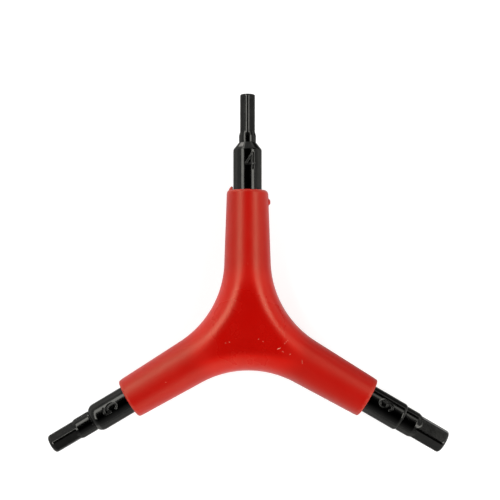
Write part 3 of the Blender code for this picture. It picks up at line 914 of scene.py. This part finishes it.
def black_oxide_steel():
    """Tool steel with a black oxide skin.

    Rings left by the lathe on body and neck, and lines along the duller drawn hexagon, smear the
    lamps a little. The skin's depth wanders in soft blotches. It is thin at the hexagon's rim and
    at its corners near the tip, where a paler grey shows. A patch of each shoulder is painted the
    same paler grey, a painted highlight. The stamped numbers are dullest.
    """
    material, tree = new_material("black_oxide_steel")
    bar = add_node(tree, "ShaderNodeAttribute", attribute_name="bar").node.outputs["Vector"]
    milled, stamped, wear, rubbed = [
        add_node(tree, "ShaderNodeAttribute", attribute_name=name).node.outputs["Fac"]
        for name in ("milled", "stamped", "wear", "rubbed")]
    spot = add_node(tree, "ShaderNodeSeparateXYZ", [bar]).node.outputs

    # Lathe rings follow the outline, so they also cross shoulders and the end face
    across = add_node(tree, "ShaderNodeCombineXYZ", [0, spot["Y"], spot["Z"]])
    radius = add_node(tree, "ShaderNodeVectorMath", [across],
                      operation="LENGTH").node.outputs["Value"]
    travel = add_node(tree, "ShaderNodeMath", [spot["X"], radius], operation="ADD")
    rings = add_node(tree, "ShaderNodeTexNoise",
                     {"W": travel, "Scale": 1 / RING_SPACING, "Detail": 1.0},
                     noise_dimensions="1D")
    lines = add_node(tree, "ShaderNodeVectorMath", [bar, LINE_STRETCH], operation="MULTIPLY")
    lines = add_node(tree, "ShaderNodeTexNoise",
                     {"Vector": lines, "Scale": 1 / LINE_SPACING, "Detail": 1.0})
    height = add_node(tree, "ShaderNodeMix", {"Factor": milled, VALUE_A: rings, VALUE_B: lines})
    bump = add_node(tree, "ShaderNodeBump", {"Distance": TOOL_MARK_DEPTH, "Height": height})

    # The skin
    blotch = add_node(tree, "ShaderNodeTexNoise",
                      {"Vector": bar, "Scale": 1 / BLOTCH_SIZE, "Detail": 4.0,
                       "Distortion": BLOTCH_DISTORTION})
    skin = add_node(tree, "ShaderNodeMapRange", [blotch, *BLOTCH_FADE, 0.0, 1.0])
    dark, light = [linear(oxide) for oxide in OXIDES]
    colour = add_node(tree, "ShaderNodeMix", {"Factor": skin, COLOUR_A: dark, COLOUR_B: light},
                      data_type="RGBA").node.outputs[MIXED_COLOUR]
    bare_and_highlight = add_node(tree, "ShaderNodeTexNoise",
                    {"Vector": bar, "Scale": 1 / WEAR_SIZE, "Detail": 4.0})
    bare_and_highlight = add_node(tree, "ShaderNodeMapRange", [bare_and_highlight, *WEAR_FADE, 0.0, WEAR_SHARE])
    # Real wear at the tip and rim, plus the shoulder patch, which is a painted highlight
    bare_and_highlight = add_node(tree, "ShaderNodeMath", [bare_and_highlight, wear, rubbed], operation="MULTIPLY_ADD")
    colour = add_node(tree, "ShaderNodeMix",
                      {"Factor": bare_and_highlight, COLOUR_A: colour, COLOUR_B: linear(BARE_STEEL_AND_HIGHLIGHT_GREY)},
                      data_type="RGBA").node.outputs[MIXED_COLOUR]
    rough = add_node(tree, "ShaderNodeMapRange", [skin, 0.0, 1.0, *OXIDE_ROUGHNESSES])
    rough = add_node(tree, "ShaderNodeMath", [milled, DRAWN_ROUGHNESS, rough],
                     operation="MULTIPLY_ADD")
    depth = SHARED_SIZES["Stroke Depth"] / 4
    burnt = add_node(tree, "ShaderNodeMapRange", [stamped, 0.0, depth, 0.0, STAMPED_ROUGHNESS])
    rough = add_node(tree, "ShaderNodeMath", [rough, burnt], operation="ADD")
    metal = add_node(tree, "ShaderNodeBsdfPrincipled",
                     {"Base Color": colour, "Metallic": 1.0, "Roughness": rough,
                      "Specular Tint": linear(GRAZING_TINT), "Normal": bump})
    add_node(tree, "ShaderNodeOutputMaterial", [metal])
    return material


# Studio


def make_cove():
    """A round white floor that curves up into a low wall.

    Its reflection in the wrench has painted shade: at two spots, one to the right, where the wrench
    would shade the floor, mirrored rays see darker paper and less of its glow.
    """
    flat_radius = FLOOR_RADIUS - COVE_RADIUS
    outline = [(0.0, 0.0), (flat_radius, 0.0)]
    for step in range(1, COVE_STEPS + 1):
        angle = math.pi / 2 * step / COVE_STEPS
        height = COVE_RADIUS * (1 - math.cos(angle))
        outline.append((flat_radius + COVE_RADIUS * math.sin(angle), height))
    outline.append((FLOOR_RADIUS, WALL_HEIGHT))
    bm = bmesh.new()
    verts = [bm.verts.new((radius, 0, height)) for radius, height in outline]
    edges = [bm.edges.new(pair) for pair in zip(verts, verts[1:])]
    bmesh.ops.spin(bm, geom=verts + edges, cent=(0, 0, 0), axis=(0, 0, 1), angle=math.tau,
                   steps=FLOOR_STEPS)
    bmesh.ops.remove_doubles(bm, verts=bm.verts, dist=SEAM)
    bmesh.ops.recalc_face_normals(bm, faces=bm.faces)
    cove = add_mesh("white_cove", bm)
    cove.data.shade_smooth()
    material, tree = new_material("white_paper")

    # A mirrored ray sees less of the paper's glow, and none of it in a painted shade spot, where
    # the paper is also painted darker
    path = add_node(tree, "ShaderNodeLightPath").node.outputs
    mirrored = add_node(tree, "ShaderNodeMath",
                        [path["Is Glossy Ray"], path["Is Transmission Ray"]], operation="ADD")
    through = mirrored
    place = add_node(tree, "ShaderNodeTexCoord").node.outputs["Object"]
    for spot, start, end in PAINTED_SHADE_SPOTS:
        off = add_node(tree, "ShaderNodeVectorMath", [place, spot],
                       operation="DISTANCE").node.outputs["Value"]
        shade = add_node(tree, "ShaderNodeMapRange", [off, start, end, 0.0, 1.0], **EASED)
        through = add_node(tree, "ShaderNodeMath", [through, shade], operation="MULTIPLY")
    shaded = add_node(tree, "ShaderNodeMath", [mirrored, through], operation="SUBTRACT")
    tone = add_node(tree, "ShaderNodeMix",
                    {"Factor": shaded, COLOUR_A: linear(PAPER), COLOUR_B: linear(SHADED_PAPER)},
                    data_type="RGBA").node.outputs[MIXED_COLOUR]
    paper = add_node(tree, "ShaderNodeBsdfDiffuse", {"Color": tone})
    seen = add_node(tree, "ShaderNodeMath", [through, MIRRORED_SHARE, path["Is Camera Ray"]],
                    operation="MULTIPLY_ADD")
    glow = add_node(tree, "ShaderNodeMath", [seen, FLOOR_GLOW], operation="MULTIPLY")
    glow = add_node(tree, "ShaderNodeEmission", {"Strength": glow})
    both = add_node(tree, "ShaderNodeAddShader", [paper, glow])
    add_node(tree, "ShaderNodeOutputMaterial", [both])
    cove.data.materials.append(material)


def light_room():
    """A dim room: dark overhead, where the camera stands, and behind the wrench to the right.

    Its walls grow lighter towards the floor, more slowly on the near side than on the others.
    """
    world = bpy.data.worlds.new("dim_room")
    bpy.context.scene.world = world
    world.use_nodes = True
    tree = world.node_tree
    tree.nodes.clear()
    direction = add_node(tree, "ShaderNodeTexCoord")
    aim = add_node(tree, "ShaderNodeSeparateXYZ", [direction]).node.outputs
    far_wall = add_node(tree, "ShaderNodeMapRange",
                        [aim["Z"], *FAR_WALL_FADE, ROOM_LEVEL, 0.0], **EASED)
    near_top = add_node(tree, "ShaderNodeMath", [aim["X"], NEAR_WALL_LEAN, NEAR_WALL_TOP],
                        operation="MULTIPLY_ADD")
    near_wall = add_node(tree, "ShaderNodeMapRange",
                         [aim["Z"], 0.0, near_top, NEAR_ROOM_LEVEL, 0.0])
    nearness = add_node(tree, "ShaderNodeMapRange",
                        [aim["Y"], *NEAR_WALL_FADE, 0.0, 1.0], **EASED)
    level = add_node(tree, "ShaderNodeMix",
                     {"Factor": nearness, VALUE_A: far_wall, VALUE_B: near_wall})
    corner = add_node(tree, "ShaderNodeVectorMath", [direction, DARK_CORNER],
                      operation="DOT_PRODUCT").node.outputs["Value"]
    shade = add_node(tree, "ShaderNodeMapRange",
                     [corner, *DARK_CORNER_FADE, 1.0, DARK_CORNER_SHARE], **EASED)
    level = add_node(tree, "ShaderNodeMath", [level, shade], operation="MULTIPLY")
    glow = add_node(tree, "ShaderNodeBackground", {"Strength": level})
    add_node(tree, "ShaderNodeOutputWorld", [glow])


def add_lamp(name, place, size, turn, radiance):
    """A flat rectangular lamp that is turned from facing down by its three angles."""
    lamp = bpy.data.lights.new(name, "AREA")
    lamp.shape = "RECTANGLE"
    lamp.size, lamp.size_y = size
    lamp.energy = radiance * math.pi * size[0] * size[1]
    lamp.color = linear(LAMP_COLOUR)[:3]
    obj = add_object(name, lamp)
    obj.location = place
    obj.rotation_euler = [math.radians(angle) for angle in turn]
    return obj


def add_lamps():
    """Strips to the left and right, three soft fills and a small bright window at the left."""
    for name, side, tilt, toe_in, near_end, far_end, radiance in STRIP_LAMPS:
        out = side * LAMP_HEIGHT * math.tan(math.radians(tilt))
        place = (out, (near_end + far_end) / 2, LAMP_HEIGHT)
        turn = (0, side * tilt, side * toe_in)
        add_lamp(name, place, (LAMP_WIDTH, far_end - near_end), turn, radiance)
    for name, direction, tilt, size, radiance, mirrored in FAR_LAMPS:
        turn = (tilt, 0, direction + 90)
        place = Vector((0, 0, FAR_LAMP_DISTANCE))
        place.rotate(Euler([math.radians(angle) for angle in turn]))
        lamp = add_lamp(name, place, size, turn, radiance)
        lamp.visible_glossy = mirrored


def add_flag():
    """A black card, behind the wrench to the right, that keeps the white wall out of its polish."""
    width, height = FLAG_SIZE
    turn = Matrix.Rotation(math.radians(FLAG_DIRECTION), 4, "Z")
    bm = bmesh.new()
    corners = [(-width / 2, 0), (width / 2, 0), (width / 2, height), (-width / 2, height)]
    places = [turn @ Vector((FLAG_DISTANCE, across, up)) for across, up in corners]
    bm.faces.new([bm.verts.new(place) for place in places])
    flag = add_mesh("black_flag", bm)
    material, tree = new_material("black_felt")
    felt = add_node(tree, "ShaderNodeBsdfDiffuse", {"Color": linear(FELT)})
    add_node(tree, "ShaderNodeOutputMaterial", [felt])
    flag.data.materials.append(material)
    flag.visible_camera = False


def add_camera():
    camera = bpy.data.cameras.new("camera")
    camera.lens = CAMERA_LENS
    camera.shift_x, camera.shift_y = CAMERA_SHIFT
    camera.clip_start = CAMERA_CLIP
    obj = add_object("camera", camera)
    obj.location = (0, CAMERA_FORWARD, THICKNESS / 2 + CAMERA_HEIGHT)
    bpy.context.scene.camera = obj


bpy.context.scene.view_settings.view_transform = "Standard"
make_cove()
light_room()
add_lamps()
add_flag()
add_camera()

bits = {}
for column, size in enumerate(BIT_SIZES):
    bits[size] = {name: values[column] for name, values in BIT_VALUES.items()}

handle = make_handle(bits)
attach(handle, "root")
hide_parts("handle")

bit_tree = lathe_and_mill_tree()
steel = black_oxide_steel()
for size, bit in bits.items():
    piece = make_bit(bit_tree, size, bit, steel)
    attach(piece, "root")
    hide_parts(f"hex_bit_{size}")
